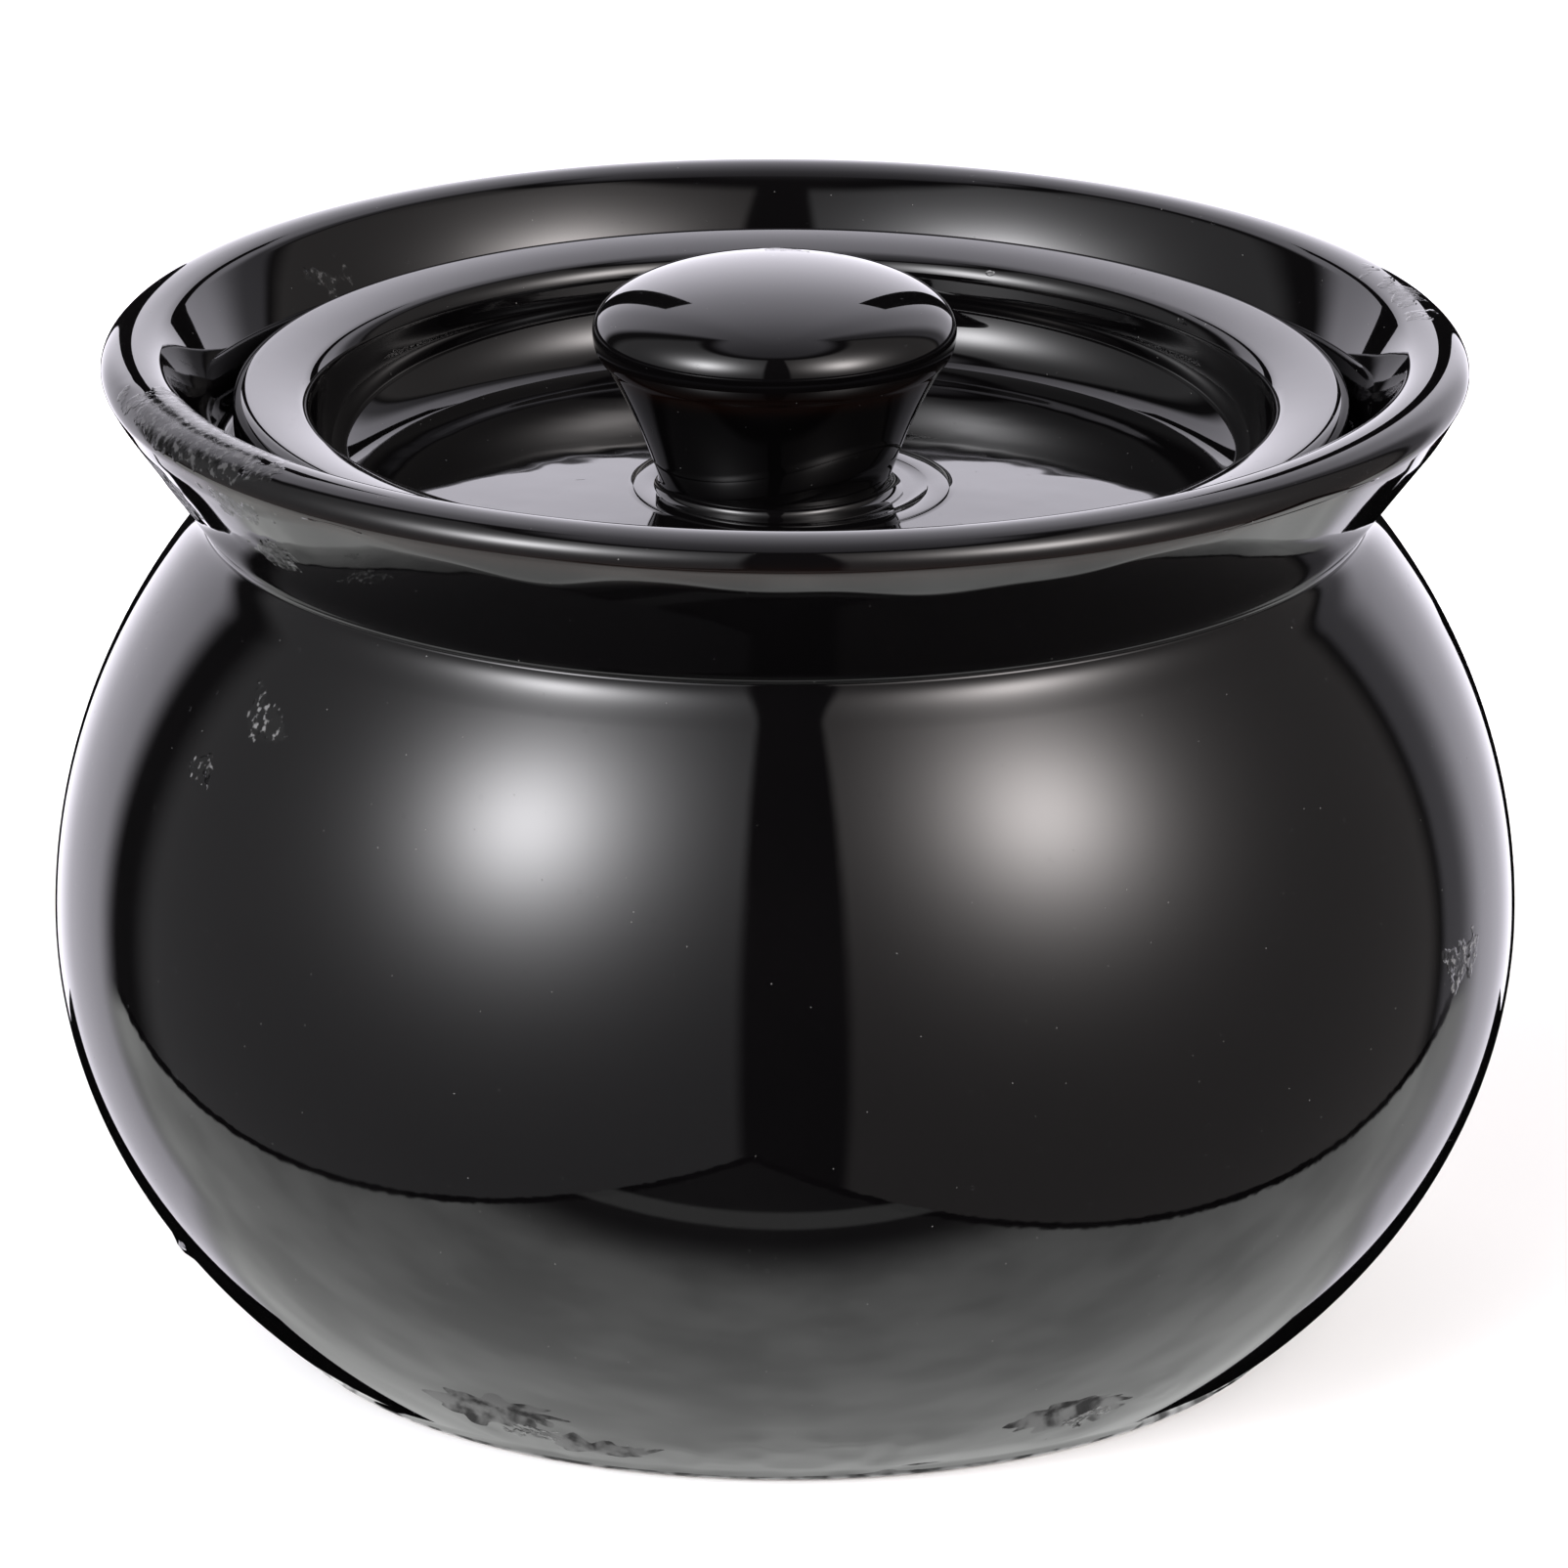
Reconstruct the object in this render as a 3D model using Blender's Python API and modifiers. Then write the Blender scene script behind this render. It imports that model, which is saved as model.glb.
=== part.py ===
"""Black glazed clay pot with a sunken lid, as the four pieces that a potter forms.

The body, the collar on its neck, the dished lid and the knob are all turned about the Z axis.
The origin is the middle of the foot, on the surface that the pot stands on. The lid lifts along +Z.
"""

import math

import bpy

# Vessel outline, metres
BELLY_RADIUS = 0.0700
BELLY_HEIGHT = 0.0412
SHOULDER_RISE = 0.0637  # vertical semi-axis of the outline above the belly
BASE_DROP = 0.0563  # vertical semi-axis of the outline below the belly
NECK_HEIGHT = 0.0806  # crease between the shoulder and the collar
FOOT_RADIUS = 0.0472
FOOT_ROUNDING = 0.0015
FOOT_RECESS_RADIUS = 0.0380
FOOT_RECESS_DEPTH = 0.0015
WALL = 0.0045
FLOOR = 0.0060
FLOOR_FILLET = 0.0040

# Collar
THROAT_RADIUS = 0.0500
LEDGE_HEIGHT = 0.0867
LEDGE_RADIUS = 0.0540
LEDGE_BEVEL = 0.0006
FLARE_BULGE = 0.0003
LIP_HEIGHT = 0.0951  # height of the middle of the rolled lip
LIP_RADIUS = 0.0614
LIP_THICKNESS = 0.0024  # half the height of the roll
LIP_OVERHANG = 0.0035
LIP_INSIDE = 0.0030
FUNNEL_START = 144  # degrees, where the lip's roll runs on into the funnel
FUNNEL_PULL = (0.0541, 0.0911)

# Lid
LID_RADIUS = 0.0530
LID_TOP = 0.0930
LID_ROUNDING = 0.0014
DISH_RADIUS = 0.0455
DISH_FLOOR_RADIUS = 0.0388
DISH_FLOOR = 0.0830
DISH_EDGE = 0.0020
RING_FALL = 0.0007  # the ring around the dish is this much lower at its inner side
RING_END = 105  # degrees, where the dish's edge runs on into the ring
LID_CLEARANCE = 0.0012  # between the sunken boss and the throat
LID_CLAY = 0.0040

# Knob
KNOB_RADIUS = 0.0173
KNOB_EDGE_HEIGHT = 0.0984
KNOB_DOME = 0.0063
KNOB_STEM_RADIUS = 0.0114
KNOB_EDGE_DROP = 0.0028  # height of the rounded edge under the widest line
KNOB_BEAD = 0.0010

GAP = 0.0003  # left between two pieces that touch
TURN_STEPS = 48
KNOB_TURN_STEPS = 36
MERGE_DISTANCE = 0.00005

BLACK_GLAZE = (0.006, 0.006, 0.007, 1.0)
GLAZE_ROUGHNESS = 0.06

PARTS_COLLECTION = "black_clay_pot"


def clear_scene():
    for item in list(bpy.data.objects):
        bpy.data.objects.remove(item, do_unlink=True)


def parts_collection():
    collection = bpy.data.collections.new(PARTS_COLLECTION)
    bpy.context.scene.collection.children.link(collection)
    return collection


def arc(centre, radii, start, end, steps):
    """Points on an ellipse in the (radius, height) plane. Angles are in degrees, 0 points outward."""
    points = []
    for step in range(steps + 1):
        angle = math.radians(start + (end - start) * step / steps)
        points.append((centre[0] + radii[0] * math.cos(angle), centre[1] + radii[1] * math.sin(angle)))
    return points


def bend(start, pull, end, steps):
    """Points on a quadratic curve from start to end, drawn towards pull."""
    points = []
    for step in range(steps + 1):
        t = step / steps
        weights = ((1 - t) ** 2, 2 * t * (1 - t), t ** 2)
        points.append(tuple(
            weights[0] * start[axis] + weights[1] * pull[axis] + weights[2] * end[axis]
            for axis in (0, 1)
        ))
    return points


def joined(*stretches):
    """One outline from several stretches, without the points that two stretches share."""
    outline = []
    for point in (point for stretch in stretches for point in stretch):
        if not outline or math.dist(point, outline[-1]) > MERGE_DISTANCE:
            outline.append(point)
    return outline


def glaze(name):
    material = bpy.data.materials.new(name)
    material.use_nodes = True
    shader = material.node_tree.nodes["Principled BSDF"]
    shader.inputs["Base Color"].default_value = BLACK_GLAZE
    shader.inputs["Roughness"].default_value = GLAZE_ROUGHNESS
    shader.inputs["Metallic"].default_value = 0.0
    material.diffuse_color = BLACK_GLAZE
    return material


def turned(name, outline, collection, closed=False, steps=TURN_STEPS):
    """A piece made by turning an outline about Z. A closed outline makes a ring."""
    mesh = bpy.data.meshes.new(name)
    edges = [(index, index + 1) for index in range(len(outline) - 1)]
    if closed:
        edges.append((len(outline) - 1, 0))
    mesh.from_pydata([(radius, 0.0, height) for radius, height in outline], edges, [])
    piece = bpy.data.objects.new(name, mesh)
    collection.objects.link(piece)
    screw = piece.modifiers.new("turn", "SCREW")
    screw.axis = "Z"
    screw.angle = math.tau
    screw.steps = steps
    screw.render_steps = steps
    screw.use_merge_vertices = True
    screw.merge_threshold = MERGE_DISTANCE
    screw.use_smooth_shade = True
    piece.data.materials.append(glaze(name + "_glaze"))
    return piece


def rise_angle(height, semi_axis):
    """Angle, in degrees, at which an outline centred on the belly reaches a height."""
    return math.degrees(math.asin((height - BELLY_HEIGHT) / semi_axis))


def neck_radius():
    """Outer radius of the crease between the body and the collar."""
    return BELLY_RADIUS * math.cos(math.radians(rise_angle(NECK_HEIGHT, SHOULDER_RISE)))


def body_inside():
    """The inner wall, from the middle of the floor up to the throat."""
    belly = BELLY_RADIUS - WALL
    drop = BASE_DROP - WALL
    rise = (NECK_HEIGHT - BELLY_HEIGHT) / math.sqrt(1 - (THROAT_RADIUS / belly) ** 2)
    wall_start = FLOOR + FLOOR_FILLET
    start_angle = rise_angle(wall_start, drop)
    wall_radius = belly * math.cos(math.radians(start_angle))
    slope = (belly / drop) ** 2 * (BELLY_HEIGHT - wall_start) / wall_radius
    pull_radius = wall_radius - slope * FLOOR_FILLET
    floor_edge = 2 * pull_radius - wall_radius - FLOOR_FILLET
    centre = (0.0, BELLY_HEIGHT)
    return joined(
        [(0.0, FLOOR)],
        bend((floor_edge, FLOOR), (pull_radius, FLOOR), (wall_radius, wall_start), 4),
        arc(centre, (belly, drop), start_angle, 0, 6),
        arc(centre, (belly, rise), 0, rise_angle(NECK_HEIGHT, rise), 6),
    )


def body_outside():
    """The outer wall, from the neck down to the foot and in to the middle of its recess."""
    centre = (0.0, BELLY_HEIGHT)
    foot_angle = rise_angle(FOOT_ROUNDING, BASE_DROP)
    edge_radius = BELLY_RADIUS * math.cos(math.radians(foot_angle))
    foot_pull = ((edge_radius + FOOT_RADIUS) / 2, 0.0)
    return joined(
        arc(centre, (BELLY_RADIUS, SHOULDER_RISE), rise_angle(NECK_HEIGHT, SHOULDER_RISE), 0, 9),
        arc(centre, (BELLY_RADIUS, BASE_DROP), 0, foot_angle, 9),
        bend((edge_radius, FOOT_ROUNDING), foot_pull, (FOOT_RADIUS, 0.0), 3),
        [
            (FOOT_RECESS_RADIUS, 0.0),
            (FOOT_RECESS_RADIUS - FOOT_RECESS_DEPTH, FOOT_RECESS_DEPTH),
            (0.0, FOOT_RECESS_DEPTH),
        ],
    )


def make_pot_body(collection):
    outline = joined(body_inside(), body_outside())
    return turned("pot_body", outline, collection)


def make_rim_collar(collection):
    """The flared collar: throat, ledge for the lid, funnel, rolled lip and outer flare."""
    lip = (LIP_RADIUS, LIP_HEIGHT)
    inside_lip = arc(lip, (LIP_INSIDE, LIP_THICKNESS), FUNNEL_START, 90, 4)
    foot_height = NECK_HEIGHT + GAP
    under_lip = arc(lip, (LIP_OVERHANG, LIP_THICKNESS), 90, -45, 7)
    flare_top = under_lip[-1]
    flare_foot = (neck_radius(), foot_height)
    flare_middle = [(top + foot) / 2 for top, foot in zip(flare_top, flare_foot)]
    flare_pull = (flare_middle[0] + FLARE_BULGE, flare_middle[1])
    outline = joined(
        [
            (THROAT_RADIUS, foot_height),
            (THROAT_RADIUS, LEDGE_HEIGHT - LEDGE_BEVEL),
            (THROAT_RADIUS + LEDGE_BEVEL, LEDGE_HEIGHT),
        ],
        bend((LEDGE_RADIUS, LEDGE_HEIGHT), FUNNEL_PULL, inside_lip[0], 6),
        inside_lip,
        under_lip,
        bend(flare_top, flare_pull, flare_foot, 4),
    )
    return turned("rim_collar", outline, collection, closed=True)


def make_lid_plate(collection):
    """The lid: dish floor, dish wall, flat ring, edge, underside and the sunken boss."""
    seat = LEDGE_HEIGHT + GAP
    boss_radius = THROAT_RADIUS - LID_CLEARANCE
    boss_bottom = DISH_FLOOR - LID_CLAY
    boss_shoulder = seat - LID_ROUNDING
    wall_top = (DISH_RADIUS, LID_TOP - RING_FALL - DISH_EDGE)
    edge_middle = (DISH_RADIUS + DISH_EDGE, wall_top[1])
    edge_centre = LID_RADIUS - LID_ROUNDING
    outline = joined(
        [(0.0, DISH_FLOOR)],
        bend((DISH_FLOOR_RADIUS, DISH_FLOOR), (DISH_RADIUS, DISH_FLOOR), wall_top, 6),
        arc(edge_middle, (DISH_EDGE, DISH_EDGE), 180, RING_END, 4),
        arc((edge_centre, LID_TOP - LID_ROUNDING), (LID_ROUNDING, LID_ROUNDING), 90, 0, 4),
        arc((edge_centre, seat + LID_ROUNDING), (LID_ROUNDING, LID_ROUNDING), 0, -90, 3),
        [(boss_radius, seat), (boss_radius, boss_shoulder)],
        bend((boss_radius, boss_shoulder), (boss_radius, boss_bottom), (DISH_FLOOR_RADIUS, boss_bottom), 6),
        [(0.0, boss_bottom)],
    )
    return turned("lid_plate", outline, collection)


def make_lid_knob(collection):
    """The mushroom knob: low dome, rounded edge, waisted stem and the bead at its foot."""
    foot = DISH_FLOOR + GAP
    stem_foot = (KNOB_STEM_RADIUS, foot + 2 * KNOB_BEAD)
    edge_end = (KNOB_RADIUS - KNOB_BEAD, KNOB_EDGE_HEIGHT - KNOB_EDGE_DROP)
    edge_pull = (KNOB_RADIUS, edge_end[1] + KNOB_BEAD)
    waist = KNOB_STEM_RADIUS + KNOB_BEAD
    stem_pull = (waist, edge_end[1] - (edge_end[0] - waist))
    outline = joined(
        arc((0.0, KNOB_EDGE_HEIGHT), (KNOB_RADIUS, KNOB_DOME), 90, 0, 8),
        bend((KNOB_RADIUS, KNOB_EDGE_HEIGHT), edge_pull, edge_end, 3),
        bend(edge_end, stem_pull, stem_foot, 7),
        arc((KNOB_STEM_RADIUS, foot + KNOB_BEAD), (KNOB_BEAD, KNOB_BEAD), 90, -90, 5),
        [(0.0, foot)],
    )
    return turned("lid_knob", outline, collection, steps=KNOB_TURN_STEPS)


def main():
    clear_scene()
    collection = parts_collection()
    make_pot_body(collection)
    make_rim_collar(collection)
    make_lid_plate(collection)
    make_lid_knob(collection)
    bpy.context.view_layer.update()


main()
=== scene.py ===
"""Looks of the black glazed clay pot: fine turned pieces, glaze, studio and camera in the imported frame."""

import math

import bpy
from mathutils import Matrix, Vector, noise


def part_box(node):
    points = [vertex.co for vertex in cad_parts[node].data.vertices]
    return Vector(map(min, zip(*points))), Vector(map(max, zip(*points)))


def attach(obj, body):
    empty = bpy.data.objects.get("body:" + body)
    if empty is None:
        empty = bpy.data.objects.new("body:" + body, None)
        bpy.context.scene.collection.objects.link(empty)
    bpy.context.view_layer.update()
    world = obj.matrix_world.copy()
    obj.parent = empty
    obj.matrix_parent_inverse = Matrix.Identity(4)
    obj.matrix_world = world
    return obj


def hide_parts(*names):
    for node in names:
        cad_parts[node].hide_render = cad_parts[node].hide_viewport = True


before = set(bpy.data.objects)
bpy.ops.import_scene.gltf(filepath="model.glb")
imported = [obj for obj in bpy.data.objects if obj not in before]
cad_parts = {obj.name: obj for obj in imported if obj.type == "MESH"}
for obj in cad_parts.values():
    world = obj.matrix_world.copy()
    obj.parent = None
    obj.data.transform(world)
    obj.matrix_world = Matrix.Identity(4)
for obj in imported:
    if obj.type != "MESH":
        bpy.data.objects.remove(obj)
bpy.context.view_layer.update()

# Sizes read from the frame, metres
BELLY_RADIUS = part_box("pot_body")[1].x
LIP_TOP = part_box("rim_collar")[1].z
LIP_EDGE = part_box("rim_collar")[1].x
LID_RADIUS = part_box("lid_plate")[1].x
LID_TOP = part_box("lid_plate")[1].z
LID_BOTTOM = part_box("lid_plate")[0].z
KNOB_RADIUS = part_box("lid_knob")[1].x
KNOB_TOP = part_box("lid_knob")[1].z

# Vessel outline, metres
BELLY_HEIGHT = 0.0412
SHOULDER_RISE = 0.0637
BASE_DROP = 0.0563
NECK_START = 0.0770  # height at which the shoulder starts to turn up into the neck
CREASE = (0.0556, 0.0810)
CREASE_SLOPE = -0.05
FOOT_RADIUS = 0.0472
FOOT_ROUNDING = 0.0015
FOOT_RECESS_RADIUS = 0.0380
FOOT_RECESS_DEPTH = 0.0015
WALL = 0.0045
FLOOR = 0.0060
FLOOR_FILLET = 0.0040

# Collar
THROAT_RADIUS = 0.0500
LEDGE_HEIGHT = 0.0867
LEDGE_RADIUS = 0.0540
LEDGE_BEVEL = 0.0006
LIP_THICKNESS = 0.0024
LIP_OVERHANG = 0.0034
LIP_INSIDE = 0.0030
FUNNEL_START = 144  # degrees, where the lip's roll runs on into the funnel
FUNNEL_PULL = (0.0541, 0.0911)
LIP_RADIUS = LIP_EDGE - LIP_OVERHANG
LIP_HEIGHT = LIP_TOP - LIP_THICKNESS
BEAD_END = -20  # degrees under the widest line of the lip
BAND_DROP = 0.0014  # height of the steeper band under the lip
BAND_SLOPE = 0.55
KNEE_REACH = 0.0004
CREASE_FILLET = 0.0004

# Lid
LID_ROUNDING = 0.0014
LID_CLEARANCE = 0.0012  # between the sunken boss and the throat
DISH_RADIUS = 0.0455
DISH_FLOOR_RADIUS = 0.0388
DISH_FLOOR = 0.0830
DISH_EDGE = 0.0020
RING_FALL = 0.0007  # how much lower the ring's inner side lies than its outer side
RING_END = 105  # degrees, where the dish's edge runs on into the ring
RING_CROWN = 0.0001
DISH_CROWN = 0.0009  # how much higher the dish floor is at the knob than at its edge
LID_SHIFT = 0.0006

# Knob
KNOB_DOME = 0.0063
KNOB_EDGE_HEIGHT = KNOB_TOP - KNOB_DOME
KNOB_EDGE_DROP = 0.0028
KNOB_EDGE_ROUND = 0.0010
STEM_PULL = (0.0130, 0.0904)
STEM_FOOT = (0.0110, 0.0840)
STEM_FILLET = 0.0015
STEM_SINK = 0.0004  # how far the stem goes into the lid's glaze
RIPPLE_RADIUS = 0.0140  # low ring in the glaze around the knob
RIPPLE_WIDTH = 0.0011
RIPPLE_HEIGHT = 0.00012
KNOB_SHIFT = -0.0010

HAIR = 0.0001  # a step too small to be seen

# Steps round each piece
TURN_STEPS = 480
LID_TURN_STEPS = 360
KNOB_TURN_STEPS = 192

# Camera
CAMERA_DISTANCE = 1.43085
CAMERA_ELEVATION = 18.355
CAMERA_LENS = 343.1
CAMERA_SENSOR = 36.0
CAMERA_CLIP = (0.01, 20.0)
AIM = Vector((-0.0001, 0.0, 0.0530))

# Hand-made unevenness. Each drift: height, size of one bump in metres, seed
BODY_BROAD = (0.00006, 0.060, 1.0)
BODY_FINE = (0.000006, 0.012, 2.0)
LUMP_DRIFT = (1.0, 0.003, 14.0)
LUMP_RISE = 2.0  # how steeply a lump rises from the edge of its patch
COLLAR_FINE = (0.000015, 0.006, 6.0)
SCAR_COARSE = (1.0, 0.0030, 11.0)
SCAR_FINE = (0.6, 0.0013, 12.0)
SCAR_SINK = 0.35
SCAR_RISE = 1.6
SCAR_LIFT = 0.7
SCAR_ROUGHNESS = 0.00008
LID_BROAD = (0.00004, 0.010, 7.0)
LID_FINE = (0.000007, 0.0028, 13.0)
RING_CALM = 0.35  # share of the unevenness that the wall and the ring keep
KNOB_BROAD = (0.00003, 0.010, 9.0)
AXIS_CALM = 0.004  # radius inside which the unevenness fades out

# Each swing: height, waves round the pot, seed
BAND_SWINGS = ((0.0020, 14.0, 3.0), (0.0012, 37.0, 3.5))
LIP_SWING = (0.00015, 6.0, 4.0)
COLLAR_SWING = (0.00010, 9.0, 5.0)
LID_SWING = (0.00008, 5.0, 8.0)
LIP_TILT = -0.0047  # the lip is lower on its right side
LID_LEAN = (-0.005, 0.006)  # the lid's left and back edges sit a little higher

# Values that the glaze reads at each point of a piece
MARKS = ("wear", "thin", "bare")
WEAR_REACH = 0.012  # how far inside the throat's radius the body's wear still counts
BARE_REACH = 0.0003  # how far above and inside the foot's ring the clay is still bare
LIP_THIN = (LIP_HEIGHT - 0.0010, 0.0008)  # middle and width of the thin glaze on the lip
KNOB_THIN = (KNOB_EDGE_HEIGHT - KNOB_EDGE_DROP, 0.0010)

# Wear. Each patch: azimuth in degrees, height, half width in degrees, half height, strength
BODY_WEAR = (
    (-52.0, 0.0715, 7.0, 0.0045, 0.62),
    (-58.0, 0.0660, 4.0, 0.0030, 0.55),
    (66.0, 0.0450, 6.0, 0.0050, 0.70),
    (-27.0, 0.0052, 8.0, 0.0028, 0.52),
    (31.0, 0.0060, 7.0, 0.0026, 0.50),
)
COLLAR_SCAR = (
    (-61.0, 0.0968, 19.0, 0.0026, 1.10),
    (-53.0, 0.0925, 10.0, 0.0026, 0.66),
    (-52.0, 0.0880, 8.0, 0.0034, 0.60),
    (-72.0, 0.0890, 10.0, 0.0050, 0.95),
)
COLLAR_WEAR = COLLAR_SCAR + (
    (104.0, 0.0975, 16.0, 0.0009, 0.56),
    (84.0, 0.0890, 5.0, 0.0030, 0.52),
    (-128.0, 0.0930, 6.0, 0.0030, 0.52),
)
LID_WEAR = (
    (155.0, 0.0915, 3.0, 0.0006, 0.60),
    (125.0, 0.0915, 3.0, 0.0008, 0.50),
)
KNOB_WEAR = (
    (170.0, 0.1040, 60.0, 0.0009, 0.50),
)
FOOT_LUMPS = (
    # pooled glaze: a patch and how far it stands out
    ((4.0, 0.0040, 24.0, 0.0042, 1.0), 0.00016),
    ((-27.0, 0.0050, 8.0, 0.0034, 1.0), -0.00014),
    ((-19.0, 0.0030, 7.0, 0.0026, 1.0), 0.00012),
    ((30.0, 0.0058, 7.0, 0.0032, 1.0), -0.00012),
    ((38.0, 0.0080, 4.0, 0.0024, 1.0), 0.00010),
    ((-71.0, 0.0130, 1.6, 0.0011, 1.0), 0.00035),
)

# Studio colours
LILAC = (0.97, 0.94, 1.04)
TABLE_TINT = (0.99, 1.0, 0.99)
DARK = (0.02, 0.02, 0.02, 1.0)
WHITE = (1.0, 1.0, 1.0, 1.0)

# Sweep. Each fade: where it starts and ends, in degrees, and the values there unless they are 0 and 1.
# The pitch counts from straight behind, over the top, to the front.
SWEEP_LOW = (17.0, 45.0, 2.2, 1.7)
SWEEP_HIGH = (38.0, 105.0, 1.0, 0.22)
SWEEP_FLANK = (40.0, 110.0, 1.35, 0.37)
FLANK_TO_BACK = (150.0, 166.0)
OVERHEAD = (67.0, 74.0)
BACK_BOTTOM = (-40.0, -34.0)
LEFT_EDGE = (-137.0, -128.0, 1.0, 0.0)
RIGHT_EDGES = ((123.0, 126.5, 0.0, 0.24), (130.0, 142.0, 0.0, 0.76))

# Light table
TABLE_EDGES = (
    # azimuth that a front edge of the light table faces, and how far out it lies for each metre down
    (-62.5, 1.35),
    (59.2, 1.115),
)
TABLE_RIM = (-20.0, -16.0, 1.0, 0.0)
TABLE_FALL = (-80.0, -35.0, 1.5, 1.12)
TABLE_FRONT = (-61.0, -44.0, 1.0, 0.06)
TABLE_CUT = (-0.004, 0.004, 1.0, 0.0)
TABLE_DIM = (-0.050, -0.032, 1.0, 0.0)
# Noise on the table: its scale, then two of its values and what they become
RAGGED_SCALE = 45.0
RAGGED = (0.3, 0.7, -0.006, 0.006)
CLOUD_SCALE = 5.0
CLOUDS = (0.3, 0.7, 0.86, 1.12)
FRONT_CURVE = 22.0  # azimuth at which the lines across the table's front lie FRONT_RISE degrees higher
FRONT_RISE = 3.0
STRIPE = (-41.0, -36.5, 0.6)
STRIPE_LIGHT = 0.42

# Soft boxes
SOFTBOXES = (
    # side, azimuth and elevation of the lamp, its strength, tint and field,
    # then the azimuths of the box's inner and outer edge and how soft the outer edge is
    (-1, 48.0, 32.5, 17.2, (1.0, 0.99, 1.02), 0.30, 7.0, 119.0, 5.0),
    (1, 48.9, 33.8, 12.6, (1.05, 0.99, 0.98), 0.25, 10.0, 121.5, 3.0),
)
LAMP_SPREAD = 22.5
LAMP_FALL = 3.0
BOX_INNER_SOFT = 1.4
BOX_UPRIGHT = (-75.0, 64.0, 2.0)  # elevations of its lower and upper edge and how soft they are

# Floor, cards and painted shadows on the light table
FLOOR_HALF = 3.0
FLOOR_GLOW = 0.22
PAPER_TONES = (0.78, 0.80)
PAPER_SCALE = 40.0
CARD_TONES = (0.002, 0.004)
CARD_SCALE = 90.0
FLAG_DISTANCE = 0.33
FLAGS = (
    # name, left, right, bottom and top of each black card behind the pot
    ("side_left", -0.142, -0.094, -0.10, 0.37),
    ("side_right", 0.094, 0.142, -0.10, 0.37),
    ("middle", -0.105, 0.155, -0.10, 0.005),
    ("low", -0.200, 0.200, -0.29, -0.10),
)
PAINTED_FLOOR_SHADOWS = (
    # azimuth in degrees, radius, half length, half width and unevenness of each painted shadow patch. The
    # first is the foot's shadow.
    (0.0, 0.0, 0.0486, 0.0486, 0.01),
    (-34.0, 0.0535, 0.0075, 0.0024, 0.5),
    (-22.0, 0.0505, 0.0060, 0.0012, 0.5),
    (33.0, 0.0530, 0.0070, 0.0018, 0.5),
)
SHADOW_PATCH_STEPS = 96
SHADOW_PATCH_HEIGHT = -0.0002
SHADOW_PATCH_WAVES = 22.0
SHADOW_PATCH_SEED = 20.0
# tones of the painted shadow patches, from dark shade to the table's white
PAINTED_SHADOW_TONES = (0.22, 1.0)
SHADOW_MOTTLE = (380.0, 3.0)  # scale and detail
SHADOW_MOTTLE_EDGE = (0.35, 0.60)

# Glaze. Each texture: scale and detail
MOTTLE = (60.0, 3.0)
PEEL = (350.0, 2.0)
GRIT = (1300.0, 4.0)
PATCH = (420.0, 3.0)
# Specks: cells in a metre, share of cells with a speck, smallest and largest radius, seed
DUST = (620.0, 0.80, 0.012, 0.042, 3.0)
FIBRES = (520.0, 0.22, 0.020, 0.036, 5.0)
PITS = (400.0, 0.80, 0.03, 0.09, 7.0)
FIBRE_TURN = (0.5, 0.9, 0.3)
FIBRE_STRETCH = (0.12, 1.0, 1.0)
WEAR_RAGGED = 1.1
WEAR_EDGE = (0.36, 0.44)
CLAY_EDGE = (0.4, 0.6)
PALE_EDGE = (0.54, 0.64)
BLACKS = ((0.0012, 0.0011, 0.0013, 1.0), (0.0024, 0.0021, 0.0023, 1.0))
THIN_BROWN = (0.012, 0.0045, 0.0025, 1.0)
THIN_SHARE = 0.6
SCUFF_DARK = 0.004
DUST_TONE = (0.14, 0.14, 0.135, 1.0)
FIRED_CLAY = ((0.15, 0.105, 0.08, 1.0), (0.24, 0.17, 0.13, 1.0))
GLOSS = (0.3, 0.7, 0.020, 0.045)
WORN_GLOSS = (0.3, 0.7, 0.12, 0.34)
DULL = 0.8
GLAZE_IOR = 1.5
# How far each texture stands out of the glaze, metres
PEEL_HEIGHT = 0.0000015
PIT_HEIGHT = -0.000012
WORN_HEIGHT = 0.00005
DUST_HEIGHT = 0.00002
# How pale the specks in the worn patches of each piece are
BODY_SCUFF = 0.16
COLLAR_SCUFF = 0.05
LID_SCUFF = 0.04
KNOB_SCUFF = 0.06


# ---------------------------------------------------------------- outlines
# The last number of each stretch is how many steps it is drawn in.

def arc(centre, radii, start, end, steps):
    """Points on an ellipse in the (radius, height) plane. Angles are in degrees, 0 points outward."""
    points = []
    for step in range(steps + 1):
        angle = math.radians(start + (end - start) * step / steps)
        points.append((centre[0] + radii[0] * math.cos(angle), centre[1] + radii[1] * math.sin(angle)))
    return points


def bend(start, pull, end, steps):
    """Points on a quadratic curve from start to end, drawn towards pull."""
    points = []
    for step in range(steps + 1):
        t = step / steps
        weights = ((1 - t) ** 2, 2 * t * (1 - t), t ** 2)
        points.append(tuple(
            weights[0] * start[axis] + weights[1] * pull[axis] + weights[2] * end[axis]
            for axis in (0, 1)
        ))
    return points


def ease(start, start_slope, end, end_slope, steps):
    """Points on a cubic from start to end. A slope is the change of radius for each metre of height."""
    rise = end[1] - start[1]
    points = []
    for step in range(steps + 1):
        t = step / steps
        radius = (
            (2 * t ** 3 - 3 * t ** 2 + 1) * start[0]
            + (t ** 3 - 2 * t ** 2 + t) * rise * start_slope
            + (3 * t ** 2 - 2 * t ** 3) * end[0]
            + (t ** 3 - t ** 2) * rise * end_slope
        )
        points.append((radius, start[1] + rise * t))
    return points


def line(start, end, steps):
    return bend(start, ((start[0] + end[0]) / 2, (start[1] + end[1]) / 2), end, steps)


def joined(*stretches):
    """One outline from several stretches, without the points that two stretches share."""
    outline = []
    for point in (point for stretch in stretches for point in stretch):
        if not outline or math.dist(point, outline[-1]) > 1e-9:
            outline.append(point)
    return outline


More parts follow.
